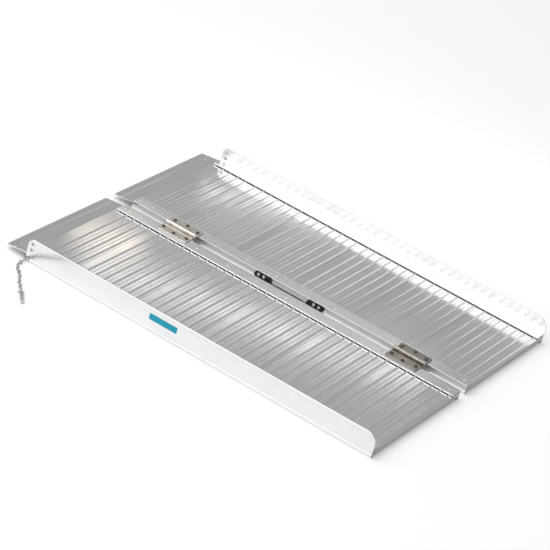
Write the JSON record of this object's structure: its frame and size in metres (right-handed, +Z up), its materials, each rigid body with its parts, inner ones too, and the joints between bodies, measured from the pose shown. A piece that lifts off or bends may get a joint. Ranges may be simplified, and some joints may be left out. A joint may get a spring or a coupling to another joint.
{
  "type": "portable wheelchair ramp",
  "caption": "Folding aluminium wheelchair ramp with ribbed plank decks, raised side kerbs, butt hinges along the seam, a carrying handle and a tethered anchor pin.",
  "frame": {"origin": "middle of the floor rectangle that the unfolded ramp covers, at floor level", "axes": "+X down the ramp from the lip end to the lower end, +Y across it from the panel with the tether chain to the other panel, +Z up"},
  "size_m": [0.926, 0.915, 0.057],
  "materials": {
    "deck_aluminium": "mill-finish extruded planks with fine draw lines",
    "rail_aluminium": "bright satin extrusion",
    "hinge_steel": "satin plated steel, slightly warm",
    "fastener_steel": "plain steel screws, pins and rivets",
    "bolt_steel": "blackened steel button-head screws",
    "pin_steel": "turned steel",
    "chain_steel": "dull plated steel links",
    "black_plastic": "moulded black nylon"
  },
  "bodies": {
    "near_panel": {"anchor_pin": "pin_steel", "chain_eye_link": "chain_steel", "hinge_1_near_bolt_1": "bolt_steel", "hinge_1_near_bolt_2": "bolt_steel", "hinge_1_near_bolt_3": "bolt_steel", "hinge_1_near_leaf": "hinge_steel", "hinge_1_pin": "fastener_steel", "hinge_2_near_bolt_1": "bolt_steel", "hinge_2_near_bolt_2": "bolt_steel", "hinge_2_near_bolt_3": "bolt_steel", "hinge_2_near_leaf": "hinge_steel", "hinge_2_pin": "fastener_steel", "near_deck_plank_1": "deck_aluminium", "near_deck_plank_2": "deck_aluminium", "near_deck_plank_3": "deck_aluminium", "near_deck_plank_4": "deck_aluminium", "near_deck_plank_5": "deck_aluminium", "near_inner_rail": "rail_aluminium", "near_kerb_eyelet_1": "pin_steel", "near_kerb_eyelet_2": "pin_steel", "near_lip_plank": "deck_aluminium", "near_side_rail": "rail_aluminium", "split_ring": "chain_steel", "tether_chain": "chain_steel"},
    "far_panel": {"far_deck_plank_1": "deck_aluminium", "far_deck_plank_2": "deck_aluminium", "far_deck_plank_3": "deck_aluminium", "far_deck_plank_4": "deck_aluminium", "far_deck_plank_5": "deck_aluminium", "far_inner_rail": "rail_aluminium", "far_kerb_eyelet_1": "pin_steel", "far_kerb_eyelet_2": "pin_steel", "far_lip_plank": "deck_aluminium", "far_side_rail": "rail_aluminium", "handle_foot_1": "black_plastic", "handle_foot_2": "black_plastic", "handle_grip": "black_plastic", "handle_screw_1": "fastener_steel", "handle_screw_2": "fastener_steel", "handle_screw_3": "fastener_steel", "handle_screw_4": "fastener_steel", "hinge_1_far_bolt_1": "bolt_steel", "hinge_1_far_bolt_2": "bolt_steel", "hinge_1_far_bolt_3": "bolt_steel", "hinge_1_far_leaf": "hinge_steel", "hinge_2_far_bolt_1": "bolt_steel", "hinge_2_far_bolt_2": "bolt_steel", "hinge_2_far_bolt_3": "bolt_steel", "hinge_2_far_leaf": "hinge_steel"}
  },
  "joints": [
    {"name": "fold_hinge", "type": "hinge", "parent": "near_panel", "child": "far_panel", "pos_m": [0, 0.003, 0.0276], "axis": [1, 0, 0], "range_deg": [0, 176]}
  ]
}
